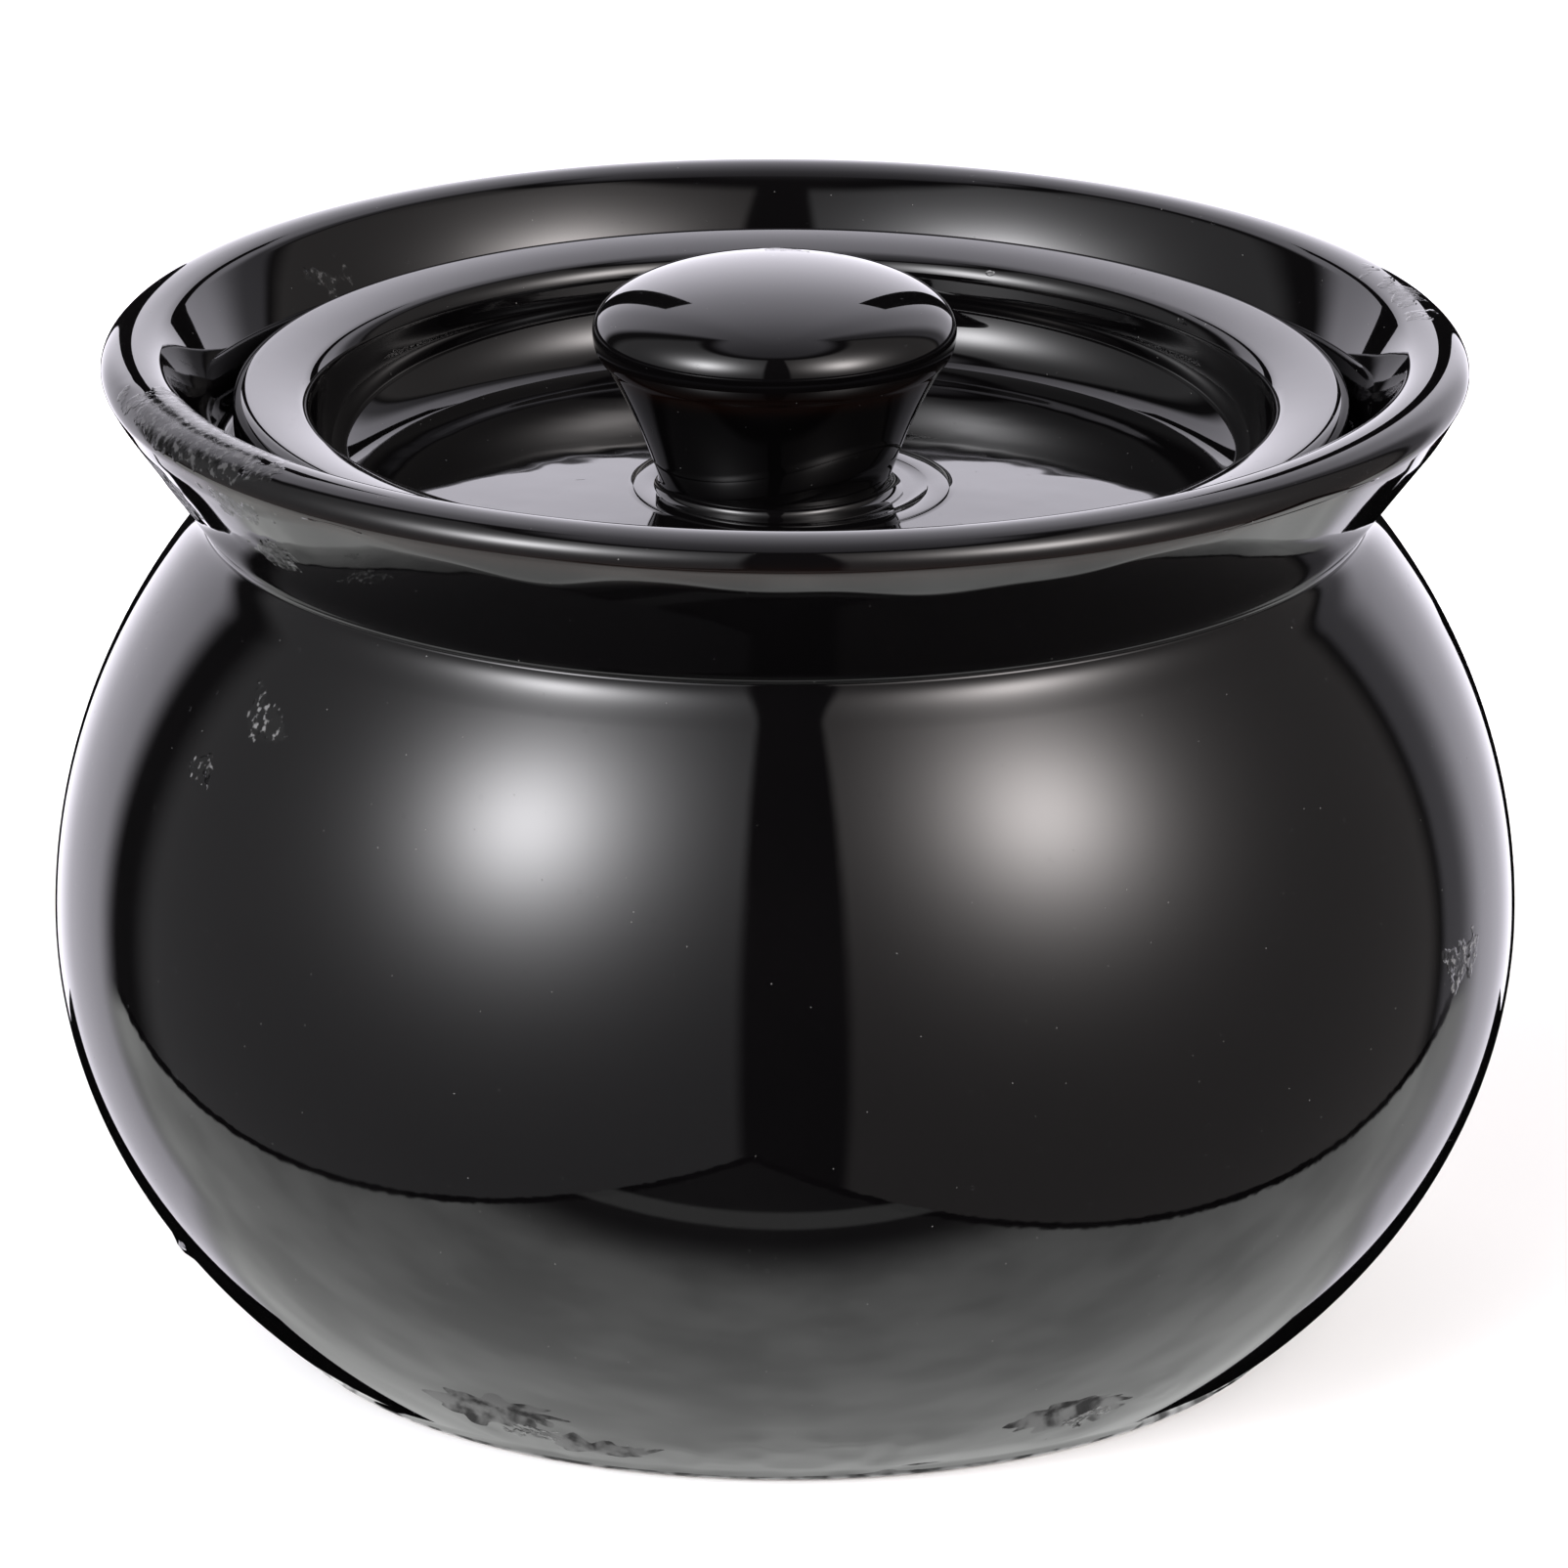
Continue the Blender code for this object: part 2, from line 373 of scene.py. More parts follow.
def rise_angle(height, semi_axis):
    """Angle, in degrees, at which an outline centred on the belly reaches a height."""
    return math.degrees(math.asin((height - BELLY_HEIGHT) / semi_axis))


def body_outline(azimuth):
    """The body, from the middle of its floor inside, over the neck and down to the middle of the foot."""
    belly = BELLY_RADIUS - WALL
    drop = BASE_DROP - WALL
    rise = (CREASE[1] - BELLY_HEIGHT) / math.sqrt(1 - (THROAT_RADIUS / belly) ** 2)
    wall_start = FLOOR + FLOOR_FILLET
    start_angle = rise_angle(wall_start, drop)
    wall_radius = belly * math.cos(math.radians(start_angle))
    slope = (belly / drop) ** 2 * (BELLY_HEIGHT - wall_start) / wall_radius
    pull_radius = wall_radius - slope * FLOOR_FILLET
    floor_edge = 2 * pull_radius - wall_radius - FLOOR_FILLET
    centre = (0.0, BELLY_HEIGHT)
    neck_angle = rise_angle(NECK_START, SHOULDER_RISE)
    neck_start = (BELLY_RADIUS * math.cos(math.radians(neck_angle)), NECK_START)
    neck_slope = -(BELLY_RADIUS / SHOULDER_RISE) ** 2 * (NECK_START - BELLY_HEIGHT) / neck_start[0]
    foot_angle = rise_angle(FOOT_ROUNDING, BASE_DROP)
    edge_radius = BELLY_RADIUS * math.cos(math.radians(foot_angle))
    foot_pull = ((edge_radius + FOOT_RADIUS) / 2, 0.0)
    recess_top = FOOT_RECESS_RADIUS - FOOT_RECESS_DEPTH
    return joined(
        line((0.0, FLOOR), (floor_edge, FLOOR), 12),
        bend((floor_edge, FLOOR), (pull_radius, FLOOR), (wall_radius, wall_start), 8),
        arc(centre, (belly, drop), start_angle, 0, 16),
        arc(centre, (belly, rise), 0, rise_angle(CREASE[1], rise), 18),
        line((THROAT_RADIUS, CREASE[1]), CREASE, 2),
        ease(CREASE, CREASE_SLOPE, neck_start, neck_slope, 18),
        arc(centre, (BELLY_RADIUS, SHOULDER_RISE), neck_angle, 0, 56),
        arc(centre, (BELLY_RADIUS, BASE_DROP), 0, foot_angle, 56),
        bend((edge_radius, FOOT_ROUNDING), foot_pull, (FOOT_RADIUS, 0.0), 6),
        line((FOOT_RADIUS, 0.0), (FOOT_RECESS_RADIUS, 0.0), 6),
        line((FOOT_RECESS_RADIUS, 0.0), (recess_top, FOOT_RECESS_DEPTH), 2),
        line((recess_top, FOOT_RECESS_DEPTH), (0.0, FOOT_RECESS_DEPTH), 8),
    )


def collar_outline(azimuth):
    """The collar, from the throat over ledge, funnel and lip down the flare to the crease."""
    lip = (LIP_RADIUS, LIP_HEIGHT)
    crown = arc(lip, (LIP_INSIDE, LIP_THICKNESS), FUNNEL_START, 90, 16)
    bead = arc(lip, (LIP_OVERHANG, LIP_THICKNESS), 90, BEAD_END, 26)
    band_drop = BAND_DROP + sum(around(azimuth, swing) for swing in BAND_SWINGS)
    band_end = (bead[-1][0] - BAND_SLOPE * band_drop, bead[-1][1] - band_drop)
    flare_length = math.dist(band_end, CREASE)
    flare_way = ((band_end[0] - CREASE[0]) / flare_length, (band_end[1] - CREASE[1]) / flare_length)
    knee_start = (band_end[0] + BAND_SLOPE * KNEE_REACH, band_end[1] + KNEE_REACH)
    knee_end = (band_end[0] - flare_way[0] * KNEE_REACH, band_end[1] - flare_way[1] * KNEE_REACH)
    corner = (CREASE[0], CREASE[1] + CREASE_FILLET)
    corner_top = (corner[0] + flare_way[0] * CREASE_FILLET, corner[1] + flare_way[1] * CREASE_FILLET)
    ledge_low = (THROAT_RADIUS, LEDGE_HEIGHT - LEDGE_BEVEL)
    ledge_start = (THROAT_RADIUS + LEDGE_BEVEL, LEDGE_HEIGHT)
    return joined(
        line((THROAT_RADIUS, CREASE[1]), ledge_low, 3),
        bend(ledge_low, (THROAT_RADIUS, LEDGE_HEIGHT), ledge_start, 4),
        line(ledge_start, (LEDGE_RADIUS, LEDGE_HEIGHT), 4),
        bend((LEDGE_RADIUS, LEDGE_HEIGHT), FUNNEL_PULL, crown[0], 24),
        crown,
        bead,
        line(bead[-1], knee_start, 5),
        bend(knee_start, band_end, knee_end, 6),
        line(knee_end, corner_top, 20),
        bend(corner_top, corner, CREASE, 6),
        line(CREASE, (THROAT_RADIUS, CREASE[1]), 2)[:-1],
    )


def lid_outline(azimuth):
    """The lid, from the middle of the dish over its wall, ring and edge to the middle of the underside."""
    seat = LEDGE_HEIGHT
    boss_radius = THROAT_RADIUS - LID_CLEARANCE
    boss_shoulder = seat - LID_ROUNDING
    edge_centre = LID_RADIUS - LID_ROUNDING
    ring_inner = LID_TOP - RING_FALL
    dish_low = DISH_FLOOR - DISH_CROWN
    wall_top = (DISH_RADIUS, ring_inner - DISH_EDGE)
    wall_round = arc((DISH_RADIUS + DISH_EDGE, wall_top[1]), (DISH_EDGE, DISH_EDGE), 180, RING_END, 14)
    ring_pull = ((wall_round[-1][0] + edge_centre) / 2, LID_TOP - RING_CROWN)
    ripple = arc((RIPPLE_RADIUS, DISH_FLOOR), (RIPPLE_WIDTH, RIPPLE_HEIGHT), 180, 0, 10)
    under_edge = (boss_radius + LEDGE_BEVEL, seat)
    boss_top = (boss_radius, seat - LEDGE_BEVEL)
    return joined(
        line((0.0, DISH_FLOOR), ripple[0], 10),
        ripple,
        line(ripple[-1], (DISH_FLOOR_RADIUS, dish_low), 40),
        bend((DISH_FLOOR_RADIUS, dish_low), (DISH_RADIUS, dish_low), wall_top, 24),
        wall_round,
        bend(wall_round[-1], ring_pull, (edge_centre, LID_TOP), 14),
        arc((edge_centre, LID_TOP - LID_ROUNDING), (LID_ROUNDING, LID_ROUNDING), 90, 0, 14),
        line((LID_RADIUS, LID_TOP - LID_ROUNDING), (LID_RADIUS, seat + LID_ROUNDING), 3),
        arc((edge_centre, seat + LID_ROUNDING), (LID_ROUNDING, LID_ROUNDING), 0, -90, 8),
        line((edge_centre, seat), under_edge, 3),
        bend(under_edge, (boss_radius, seat), boss_top, 4),
        line(boss_top, (boss_radius, boss_shoulder), 2),
        bend((boss_radius, boss_shoulder), (boss_radius, LID_BOTTOM), (DISH_FLOOR_RADIUS, LID_BOTTOM), 16),
        line((DISH_FLOOR_RADIUS, LID_BOTTOM), (0.0, LID_BOTTOM), 12),
    )


def knob_outline(azimuth):
    """The knob, from its top over the rounded edge and down the flared stem to its foot."""
    edge_end = (KNOB_RADIUS - KNOB_EDGE_ROUND, KNOB_EDGE_HEIGHT - KNOB_EDGE_DROP)
    edge_pull = (KNOB_RADIUS, edge_end[1] + KNOB_EDGE_ROUND)
    foot_edge = (STEM_FOOT[0] + STEM_FILLET, DISH_FLOOR - HAIR)
    foot = DISH_FLOOR - STEM_SINK
    return joined(
        arc((0.0, KNOB_EDGE_HEIGHT), (KNOB_RADIUS, KNOB_DOME), 90, 0, 60),
        bend((KNOB_RADIUS, KNOB_EDGE_HEIGHT), edge_pull, edge_end, 14),
        bend(edge_end, STEM_PULL, STEM_FOOT, 40),
        bend(STEM_FOOT, (STEM_FOOT[0] - HAIR, DISH_FLOOR), foot_edge, 14),
        line((foot_edge[0], foot), (0.0, foot), 8),
    )


# ---------------------------------------------------------------- hand-made unevenness and wear

def around(azimuth, swing):
    """An offset that goes smoothly up and down round the pot."""
    height, waves, seed = swing
    reach = waves / math.tau
    return height * noise.noise(Vector((reach * math.cos(azimuth), reach * math.sin(azimuth), seed)))


def drift(point, swell):
    """An offset that goes smoothly up and down over a surface."""
    height, size, seed = swell
    return height * noise.noise(point / size + Vector((seed, seed, seed)))


def patched(point, patches):
    """How deep a point lies in the strongest patch, from 0 outside to the patch's strength."""
    turn = math.degrees(math.atan2(point.x, -point.y))
    deepest = 0.0
    for azimuth, height, half_width, half_height, strength in patches:
        across = (turn - azimuth + 180.0) % 360.0 - 180.0
        reach = math.hypot(across / half_width, (point.z - height) / half_height)
        deepest = max(deepest, strength * (1.0 - reach))
    return deepest


# ---------------------------------------------------------------- turned pieces

def new_object(name, data):
    made = bpy.data.objects.new(name, data)
    bpy.context.scene.collection.objects.link(made)
    return made


def turned(name, outline, steps, wobble, marks, closed=False, shift=0.0):
    """A piece whose outline is turned about Z and may change a little with the azimuth.

    Azimuth 0 faces the camera and grows towards +X. wobble gives the offset of each point,
    and marks the values that the glaze reads there.
    """
    rings = []
    vertices = []
    faces = []
    values = []
    for step in range(steps):
        azimuth = math.tau * step / steps
        outward = Vector((math.sin(azimuth), -math.cos(azimuth), 0.0))
        ring = []
        for radius, height in outline(azimuth):
            if radius < 1e-9 and rings:
                ring.append(rings[0][len(ring)])
                continue
            point = outward * radius + Vector((0.0, 0.0, height))
            values.append(marks(point, radius))
            point += wobble(point, azimuth) * min(1.0, radius / AXIS_CALM)
            ring.append(len(vertices))
            vertices.append(point + Vector((shift, 0.0, 0.0)))
        rings.append(ring)
    count = len(rings[0])
    for step in range(steps):
        here = rings[step]
        there = rings[(step + 1) % steps]
        for index in range(count if closed else count - 1):
            after = (index + 1) % count
            face = list(dict.fromkeys((here[index], there[index], there[after], here[after])))
            if len(face) > 2:
                faces.append(face)
    mesh = bpy.data.meshes.new(name)
    mesh.from_pydata(vertices, [], faces)
    mesh.shade_smooth()
    for place, mark in enumerate(MARKS):
        attribute = mesh.attributes.new(mark, "FLOAT", "POINT")
        attribute.data.foreach_set("value", [row[place] for row in values])
    return new_object(name, mesh)


def bump_at(value, middle, width):
    """1 at the middle, falling smoothly to 0 about two widths away."""
    return math.exp(-((value - middle) / width) ** 2)


def body_marks(point, radius):
    in_reach = radius > THROAT_RADIUS - WEAR_REACH and point.z > 0.0
    on_foot = point.z < BARE_REACH and radius > FOOT_RECESS_RADIUS - BARE_REACH
    return patched(point, BODY_WEAR) if in_reach else 0.0, 0.0, 1.0 if on_foot else 0.0


def collar_marks(point, radius):
    outside = radius > LIP_RADIUS + LIP_OVERHANG / 2
    return patched(point, COLLAR_WEAR), bump_at(point.z, *LIP_THIN) if outside else 0.0, 0.0


def lid_marks(point, radius):
    on_top = point.z > DISH_FLOOR - DISH_CROWN - HAIR
    return patched(point, LID_WEAR) if on_top else 0.0, 0.0, 0.0


def knob_marks(point, radius):
    return patched(point, KNOB_WEAR), bump_at(point.z, *KNOB_THIN), 0.0


def flat_way(point):
    return Vector((point.x, point.y, 0.0)).normalized()


def body_wobble(point, azimuth):
    lump = 0.0
    for patch, height in FOOT_LUMPS:
        lump += height * min(1.0, LUMP_RISE * patched(point, (patch,)))
    lump *= 1.0 + drift(point, LUMP_DRIFT)
    return flat_way(point) * (drift(point, BODY_BROAD) + drift(point, BODY_FINE) + lump)


def collar_wobble(point, azimuth):
    lip = max(0.0, (point.z - LEDGE_HEIGHT) / (LIP_TOP - LEDGE_HEIGHT))
    rise = (LIP_TILT * point.x + around(azimuth, LIP_SWING)) * lip
    out = around(azimuth, COLLAR_SWING) + drift(point, COLLAR_FINE)
    scar = min(1.0, SCAR_RISE * patched(point, COLLAR_SCAR))
    rough = SCAR_ROUGHNESS * scar * (drift(point, SCAR_COARSE) + drift(point, SCAR_FINE) - SCAR_SINK)
    return flat_way(point) * (out + rough) + Vector((0.0, 0.0, rise + SCAR_LIFT * rough * lip))


def lid_wobble(point, azimuth):
    in_dish = math.hypot(point.x, point.y) < DISH_FLOOR_RADIUS
    swell = (drift(point, LID_BROAD) + drift(point, LID_FINE)) * (1.0 if in_dish else RING_CALM)
    lean = LID_LEAN[0] * point.x + LID_LEAN[1] * point.y
    return Vector((0.0, 0.0, swell + around(azimuth, LID_SWING) + lean))


def knob_wobble(point, azimuth):
    return flat_way(point) * drift(point, KNOB_BROAD)


# ---------------------------------------------------------------- node graphs

class Graph:
    """Short calls that build one node tree."""

    def __init__(self, tree):
        self.tree = tree
        tree.nodes.clear()

    def node(self, kind, inputs=(), **settings):
        made = self.tree.nodes.new(kind)
        for name, value in settings.items():
            setattr(made, name, value)
        for key, value in dict(inputs).items():
            self.feed(made.inputs[key], value)
        return made

    def feed(self, socket, value):
        if isinstance(value, bpy.types.NodeSocket):
            self.tree.links.new(value, socket)
        else:
            socket.default_value = value

    def math(self, operation, *values):
        return self.node("ShaderNodeMath", enumerate(values), operation=operation).outputs[0]

    def step(self, value, low, high, start=0.0, end=1.0):
        """Goes smoothly from start, where the value is low, to end, where it is high."""
        inputs = {"Value": value, "From Min": low, "From Max": high, "To Min": start, "To Max": end}
        return self.node("ShaderNodeMapRange", inputs, interpolation_type="SMOOTHSTEP").outputs["Result"]

    def band(self, value, low, high, soft):
        """1 between low and high, with edges this soft, and 0 outside."""
        rise = self.step(value, low - soft, low + soft)
        fall = self.step(value, high - soft, high + soft, 1.0, 0.0)
        return self.math("MULTIPLY", rise, fall)

    def mix(self, factor, first, second):
        made = self.node("ShaderNodeMix", {0: factor, 6: first, 7: second}, data_type="RGBA")
        return made.outputs[2]

    def blend(self, factor, first, second):
        made = self.node("ShaderNodeMix", {0: factor, 2: first, 3: second}, data_type="FLOAT")
        return made.outputs[0]

    def dot(self, vector, aim):
        made = self.node("ShaderNodeVectorMath", {0: vector, 1: tuple(aim)}, operation="DOT_PRODUCT")
        return made.outputs["Value"]

    def grey(self, value, tint=(1.0, 1.0, 1.0)):
        """A colour whose strength is the value."""
        made = self.node("ShaderNodeVectorMath", {0: tint, 3: value}, operation="SCALE")
        return made.outputs[0]

    def split(self, vector):
        return self.node("ShaderNodeSeparateXYZ", {0: vector}).outputs[:3]

    def texture(self, place, scale, detail=2.0):
        made = self.node("ShaderNodeTexNoise", {"Vector": place, "Scale": scale, "Detail": detail})
        return made.outputs[0]

    def surface(self, shader):
        self.node("ShaderNodeOutputMaterial", {"Surface": shader.outputs[0]})


# ---------------------------------------------------------------- studio

def direction(azimuth, elevation):
    a = math.radians(azimuth)
    e = math.radians(elevation)
    return Vector((math.sin(a) * math.cos(e), -math.cos(a) * math.cos(e), math.sin(e)))


def sweep_light(graph, y, z, side):
    """The pale sweep behind, beside and above: bright low down behind, dim where it comes over the camera."""
    pitch = graph.math("DEGREES", graph.math("ARCTAN2", z, y))
    behind = graph.math("MULTIPLY", graph.step(pitch, *SWEEP_LOW), graph.step(pitch, *SWEEP_HIGH))
    flank = graph.step(pitch, *SWEEP_FLANK)
    return graph.grey(graph.blend(graph.step(side, *FLANK_TO_BACK), flank, behind), LILAC)


def table_light(graph, way, azimuth, elevation):
    """The light table below the pot: its colour, and the directions in which it is seen."""
    ragged = graph.step(graph.texture(way, RAGGED_SCALE), *RAGGED)
    inside = graph.step(elevation, *TABLE_RIM)
    lit = graph.math("MULTIPLY", inside, graph.step(graph.texture(way, CLOUD_SCALE), *CLOUDS))
    for faces, reach in TABLE_EDGES:
        aim = direction(faces, 0.0) + Vector((0.0, 0.0, reach))
        across = graph.math("ADD", graph.dot(way, aim), ragged)
        inside = graph.math("MULTIPLY", inside, graph.step(across, *TABLE_CUT))
        lit = graph.math("MULTIPLY", lit, graph.step(across, *TABLE_DIM))
    turned_out = graph.math("POWER", graph.math("DIVIDE", azimuth, FRONT_CURVE), 2.0)
    front = graph.math("SUBTRACT", elevation, graph.math("MULTIPLY", turned_out, FRONT_RISE))
    lit = graph.math("MULTIPLY", lit, graph.step(front, *TABLE_FRONT))
    stripe = graph.math("MULTIPLY", graph.band(front, *STRIPE), STRIPE_LIGHT)
    glow = graph.math("ADD", graph.math("MULTIPLY", lit, graph.step(elevation, *TABLE_FALL)), stripe)
    return graph.grey(glow, TABLE_TINT), inside


def softbox_light(graph, way, azimuth, elevation, softbox):
    """One soft box: an even field with the lamp's round glow, and the directions in which it is seen."""
    side, lamp_azimuth, lamp_elevation, strength, tint, field, inner, outer, outer_soft = softbox
    along = graph.dot(way, direction(side * lamp_azimuth, lamp_elevation))
    angle = graph.math("DEGREES", graph.math("ARCCOSINE", along))
    spread = graph.math("POWER", graph.math("DIVIDE", angle, LAMP_SPREAD), 2.0)
    falling = graph.math("POWER", graph.math("ADD", spread, 1.0), LAMP_FALL)
    glow = graph.math("DIVIDE", strength, falling)
    turned_out = graph.math("MULTIPLY", azimuth, side)
    across = graph.math(
        "MULTIPLY",
        graph.step(turned_out, inner - BOX_INNER_SOFT, inner + BOX_INNER_SOFT),
        graph.step(turned_out, outer - outer_soft, outer + outer_soft, 1.0, 0.0),
    )
    seen = graph.math("MULTIPLY", across, graph.band(elevation, *BOX_UPRIGHT))
    return graph.grey(graph.math("ADD", glow, field), tint), seen


def studio_light():
    """Two soft boxes in front, a pale sweep round the back and over the top, and a light table below."""
    world = bpy.data.worlds.new("studio")
    bpy.context.scene.world = world
    world.use_nodes = True
    graph = Graph(world.node_tree)
    way = graph.node("ShaderNodeTexCoord").outputs["Generated"]
    x, y, z = graph.split(way)
    azimuth = graph.math("DEGREES", graph.math("ARCTAN2", x, graph.math("MULTIPLY", y, -1.0)))
    elevation = graph.math("DEGREES", graph.math("ARCSINE", z))
    side = graph.math("ABSOLUTE", azimuth)

    beside = graph.step(azimuth, *LEFT_EDGE)
    for edge in RIGHT_EDGES:
        beside = graph.math("ADD", beside, graph.step(azimuth, *edge))
    around_back = graph.math("MULTIPLY", beside, graph.step(elevation, *BACK_BOTTOM))
    in_sweep = graph.math("MAXIMUM", graph.step(elevation, *OVERHEAD), around_back)
    light = graph.mix(in_sweep, DARK, sweep_light(graph, y, z, side))
    table, on_table = table_light(graph, way, azimuth, elevation)
    on_table = graph.math("MULTIPLY", on_table, graph.math("SUBTRACT", 1.0, around_back))
    light = graph.mix(on_table, light, table)
    off_table = graph.math("SUBTRACT", 1.0, on_table)
    for softbox in SOFTBOXES:
        box, seen = softbox_light(graph, way, azimuth, elevation, softbox)
        light = graph.mix(graph.math("MULTIPLY", seen, off_table), light, box)

    camera_ray = graph.node("ShaderNodeLightPath").outputs["Is Camera Ray"]
    colour = graph.mix(camera_ray, light, WHITE)
    background = graph.node("ShaderNodeBackground", {"Color": colour, "Strength": 1.0})
    graph.node("ShaderNodeOutputWorld", {"Surface": background.outputs[0]})


def shade(level):
    """A neutral colour."""
    return (level, level, level, 1.0)


def new_material(name):
    """An empty material, its graph, and the place on the object that its nodes read."""
    material = bpy.data.materials.new(name)
    material.use_nodes = True
    graph = Graph(material.node_tree)
    return material, graph, graph.node("ShaderNodeTexCoord").outputs["Object"]


def flat_card(name, corners, material):
    """A flat studio card, left unattached to the pot's bodies."""
    mesh = bpy.data.meshes.new(name)
    mesh.from_pydata(corners, [], [range(len(corners))])
    mesh.materials.append(material)
    card = new_object(name, mesh)
    return card


def mirrored_only(card):
    """Hides a card from everything but the reflections in the glaze."""
    card.visible_camera = False
    card.visible_diffuse = False
    card.visible_shadow = False


def floor_material():
    material, graph, place = new_material("pale_paper")
    grain = graph.texture(place, PAPER_SCALE)
    paper = graph.node("ShaderNodeBsdfDiffuse", {
        "Color": graph.mix(grain, *map(shade, PAPER_TONES)),
        "Roughness": 1.0,
    })
    glow = graph.node("ShaderNodeEmission", {"Color": WHITE, "Strength": FLOOR_GLOW})
    graph.surface(graph.node("ShaderNodeAddShader", {0: paper.outputs[0], 1: glow.outputs[0]}))
    return material


def black_card_material():
    material, graph, place = new_material("black_card")
    tone = graph.mix(graph.texture(place, CARD_SCALE), *map(shade, CARD_TONES))
    graph.surface(graph.node("ShaderNodeBsdfDiffuse", {"Color": tone}))
    return material


# Painted shade: a dim, mottled glow that stands in for the contact shadow on the light table
def painted_floor_shadow_material():
    material, graph, place = new_material("painted_floor_shadow")
    shadow_mottle = graph.step(graph.texture(place, *SHADOW_MOTTLE), *SHADOW_MOTTLE_EDGE)
    tone = graph.mix(shadow_mottle, *map(shade, PAINTED_SHADOW_TONES))
    graph.surface(graph.node("ShaderNodeEmission", {"Color": tone, "Strength": 1.0}))
    return material


def make_floor():
    """A pale floor that the camera sees. The glaze mirrors the light table instead."""
    corners = [(x * FLOOR_HALF, y * FLOOR_HALF, 0.0) for x, y in ((-1, -1), (1, -1), (1, 1), (-1, 1))]
    floor = flat_card("floor", corners, floor_material())
    floor.visible_glossy = False


def make_painted_floor_shadows():
    """Painted shadows on the light table under the foot and beside it: dim glowing cards that only the glaze
    mirrors.
    """
    material = painted_floor_shadow_material()
    for number, (azimuth, radius, half_length, half_width, unevenness) in enumerate(PAINTED_FLOOR_SHADOWS):
        outward = direction(azimuth, 0.0)
        along = Vector((-outward.y, outward.x, 0.0))
        corners = []
        for step in range(SHADOW_PATCH_STEPS):
            angle = math.tau * step / SHADOW_PATCH_STEPS
            size = 1.0 + around(angle, (unevenness, SHADOW_PATCH_WAVES, SHADOW_PATCH_SEED + number))
            offset = along * math.cos(angle) * half_length + outward * math.sin(angle) * half_width
            corners.append(outward * radius + offset * size + Vector((0.0, 0.0, SHADOW_PATCH_HEIGHT)))
        mirrored_only(flat_card(f"painted_floor_shadow_{number}", corners, material))


def make_flags():
    """Black cards behind the pot that only the glaze mirrors. They draw the dark lines along its sides."""
    material = black_card_material()
    for name, left, right, bottom, top in FLAGS:
        outline = ((left, bottom), (right, bottom), (right, top), (left, top))
        corners = [(x, FLAG_DISTANCE, z) for x, z in outline]
        mirrored_only(flat_card(f"flag_{name}", corners, material))


def make_camera():
    lens = bpy.data.cameras.new("camera")
    lens.lens = CAMERA_LENS
    lens.sensor_width = CAMERA_SENSOR
    lens.clip_start, lens.clip_end = CAMERA_CLIP
    camera = new_object("camera", lens)
    back = direction(0.0, CAMERA_ELEVATION)
    camera.location = AIM + back * CAMERA_DISTANCE
    camera.rotation_euler = (-back).to_track_quat("-Z", "Y").to_euler()
    bpy.context.scene.camera = camera


# ---------------------------------------------------------------- glaze

def specks(graph, place, scale, share, smallest, largest, seed):
    """Small round spots scattered at random. Sizes are radii as shares of a cell of 1 / scale metres."""
    moved = graph.node("ShaderNodeVectorMath", {0: place, 1: (seed, seed, seed)}, operation="ADD").outputs[0]
    cells = graph.node("ShaderNodeTexVoronoi", {"Vector": moved, "Scale": scale})
    chance, size, _ = graph.split(cells.outputs["Color"])
    radius = graph.step(size, 0.0, 1.0, smallest, largest)
    spot = graph.math("LESS_THAN", cells.outputs["Distance"], radius)
    return graph.math("MULTIPLY", spot, graph.math("GREATER_THAN", chance, 1.0 - share))


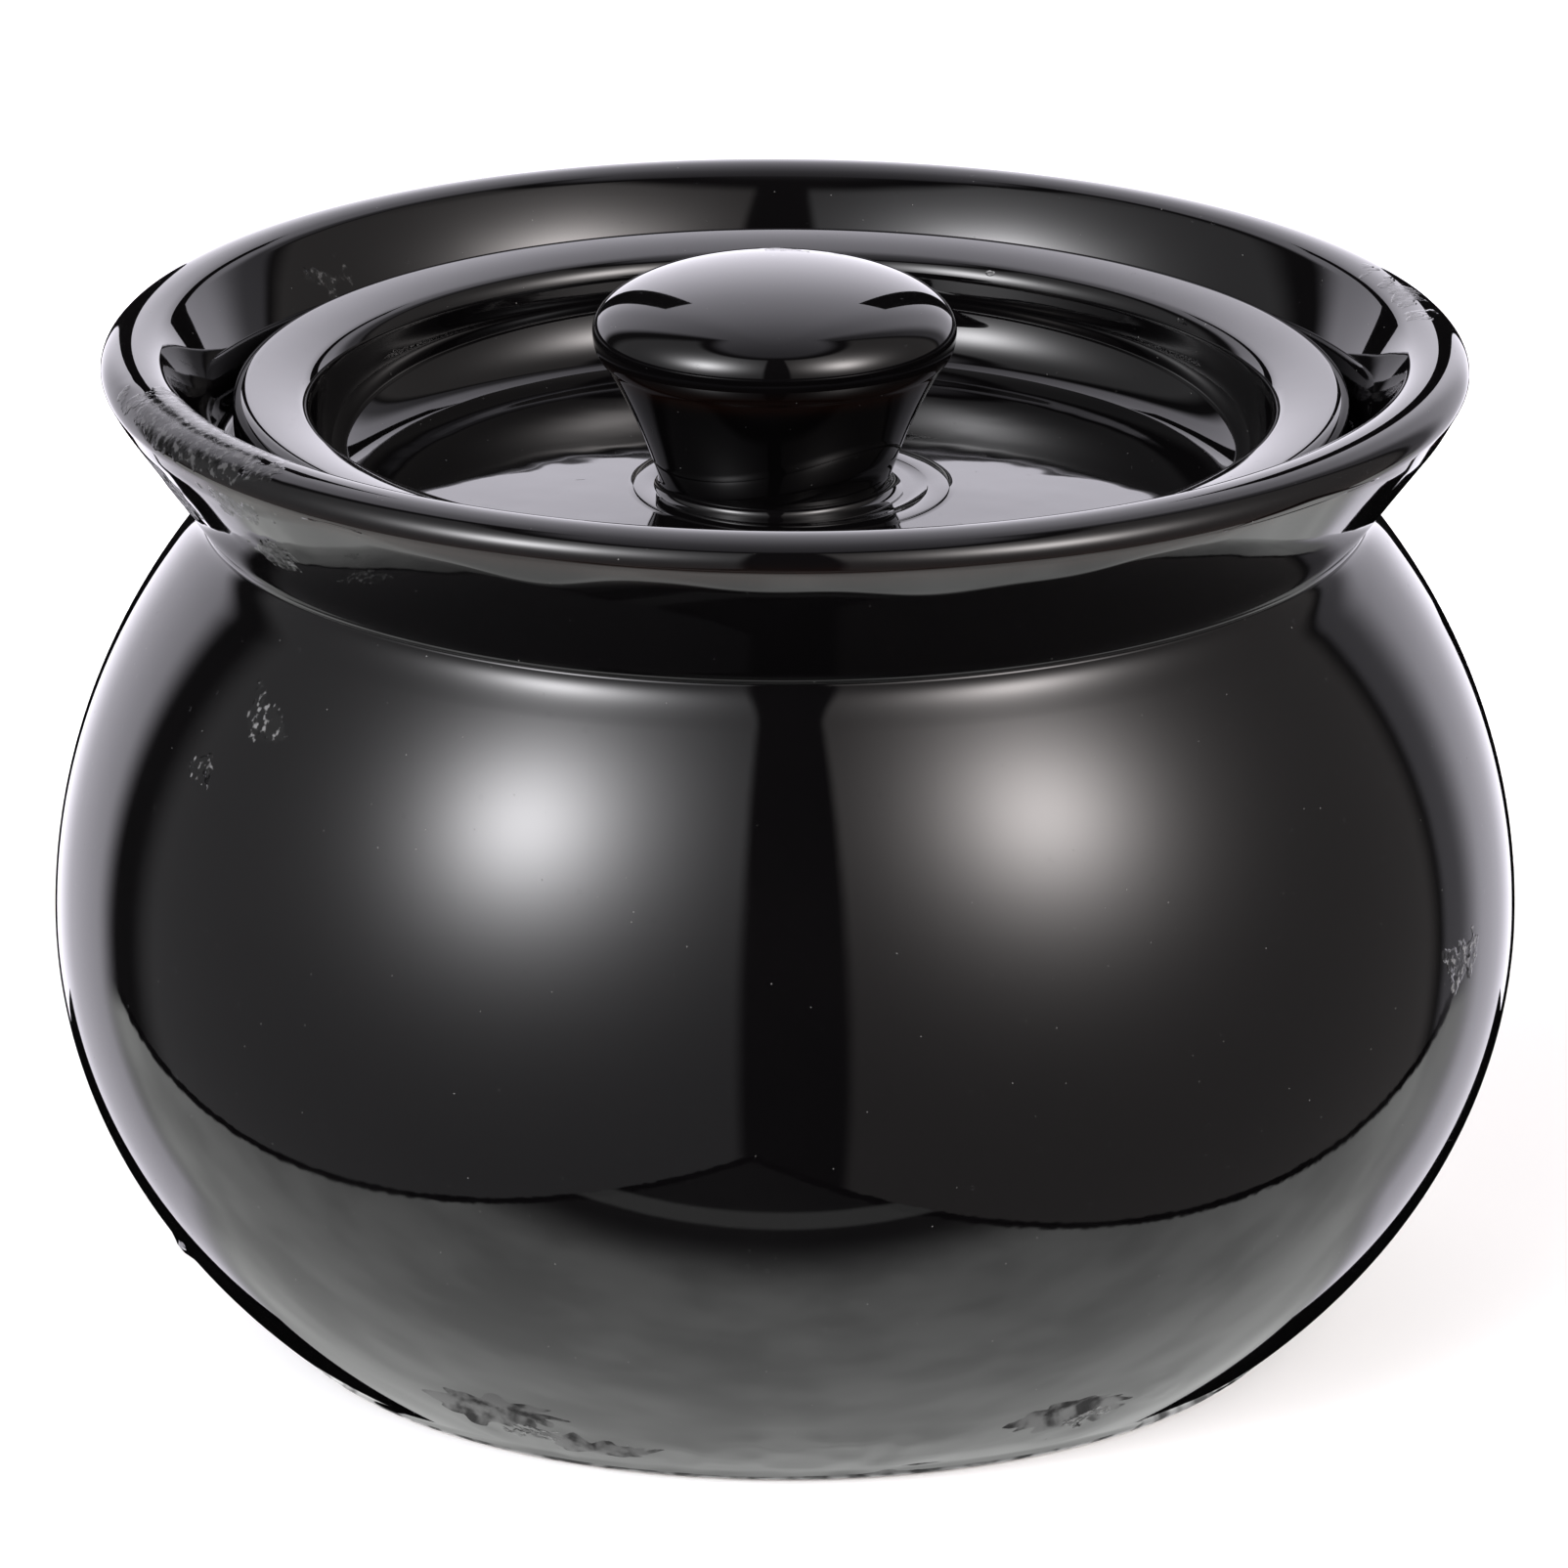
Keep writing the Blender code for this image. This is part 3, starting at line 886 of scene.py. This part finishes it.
def glaze(name, scuff):
    """Glossy black glaze with pinholes, dust, worn patches, thin brown edges and a bare clay foot."""
    material, graph, place = new_material(name)
    wear, thin, bare = (
        graph.node("ShaderNodeAttribute", attribute_name=mark).outputs["Fac"] for mark in MARKS
    )
    mottle, peel, grit, patch = (graph.texture(place, *texture) for texture in (MOTTLE, PEEL, GRIT, PATCH))

    unevenly = graph.math("MULTIPLY", graph.math("SUBTRACT", patch, 0.5), WEAR_RAGGED)
    worn = graph.step(graph.math("ADD", wear, unevenly), *WEAR_EDGE)
    stretched = graph.node("ShaderNodeMapping", {
        "Vector": place,
        "Rotation": FIBRE_TURN,
        "Scale": FIBRE_STRETCH,
    }).outputs[0]
    dust = graph.math("MAXIMUM", specks(graph, place, *DUST), specks(graph, stretched, *FIBRES))
    pits = specks(graph, place, *PITS)
    clay = graph.step(bare, *CLAY_EDGE)

    colour = graph.mix(graph.math("MULTIPLY", thin, THIN_SHARE), graph.mix(mottle, *BLACKS), THIN_BROWN)
    scuffed = graph.mix(graph.step(grit, *PALE_EDGE), shade(SCUFF_DARK), shade(scuff))
    colour = graph.mix(worn, colour, scuffed)
    colour = graph.mix(dust, colour, DUST_TONE)
    colour = graph.mix(clay, colour, graph.mix(patch, *FIRED_CLAY))

    roughness = graph.blend(worn, graph.step(mottle, *GLOSS), graph.step(grit, *WORN_GLOSS))
    roughness = graph.blend(graph.math("MAXIMUM", dust, clay), roughness, DULL)

    height = graph.math("MULTIPLY", peel, PEEL_HEIGHT)
    worn_grit = graph.math("MULTIPLY", worn, grit)
    for value, stands_out in ((pits, PIT_HEIGHT), (worn_grit, WORN_HEIGHT), (dust, DUST_HEIGHT)):
        height = graph.math("ADD", height, graph.math("MULTIPLY", value, stands_out))
    bump = graph.node("ShaderNodeBump", {"Height": height, "Distance": 1.0, "Strength": 1.0})
    graph.surface(graph.node("ShaderNodeBsdfPrincipled", {
        "Base Color": colour,
        "Roughness": roughness,
        "IOR": GLAZE_IOR,
        "Normal": bump.outputs[0],
    }))
    return material


# ---------------------------------------------------------------- assembly

def place_piece(piece, body, node, material):
    piece.data.materials.append(material)
    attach(piece, body)
    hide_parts(node)


def make_pot():
    body = turned("glazed_body", body_outline, TURN_STEPS, body_wobble, body_marks)
    place_piece(body, "pot", "pot_body", glaze("body_glaze", BODY_SCUFF))
    collar = turned(
        "glazed_collar", collar_outline, TURN_STEPS, collar_wobble, collar_marks, closed=True
    )
    place_piece(collar, "pot", "rim_collar", glaze("collar_glaze", COLLAR_SCUFF))


def make_lid():
    plate = turned("glazed_lid", lid_outline, LID_TURN_STEPS, lid_wobble, lid_marks, shift=LID_SHIFT)
    place_piece(plate, "lid", "lid_plate", glaze("lid_glaze", LID_SCUFF))
    knob = turned("glazed_knob", knob_outline, KNOB_TURN_STEPS, knob_wobble, knob_marks, shift=KNOB_SHIFT)
    place_piece(knob, "lid", "lid_knob", glaze("knob_glaze", KNOB_SCUFF))


bpy.context.scene.view_settings.view_transform = "Standard"
make_camera()
studio_light()
make_floor()
make_flags()
make_painted_floor_shadows()
make_pot()
make_lid()
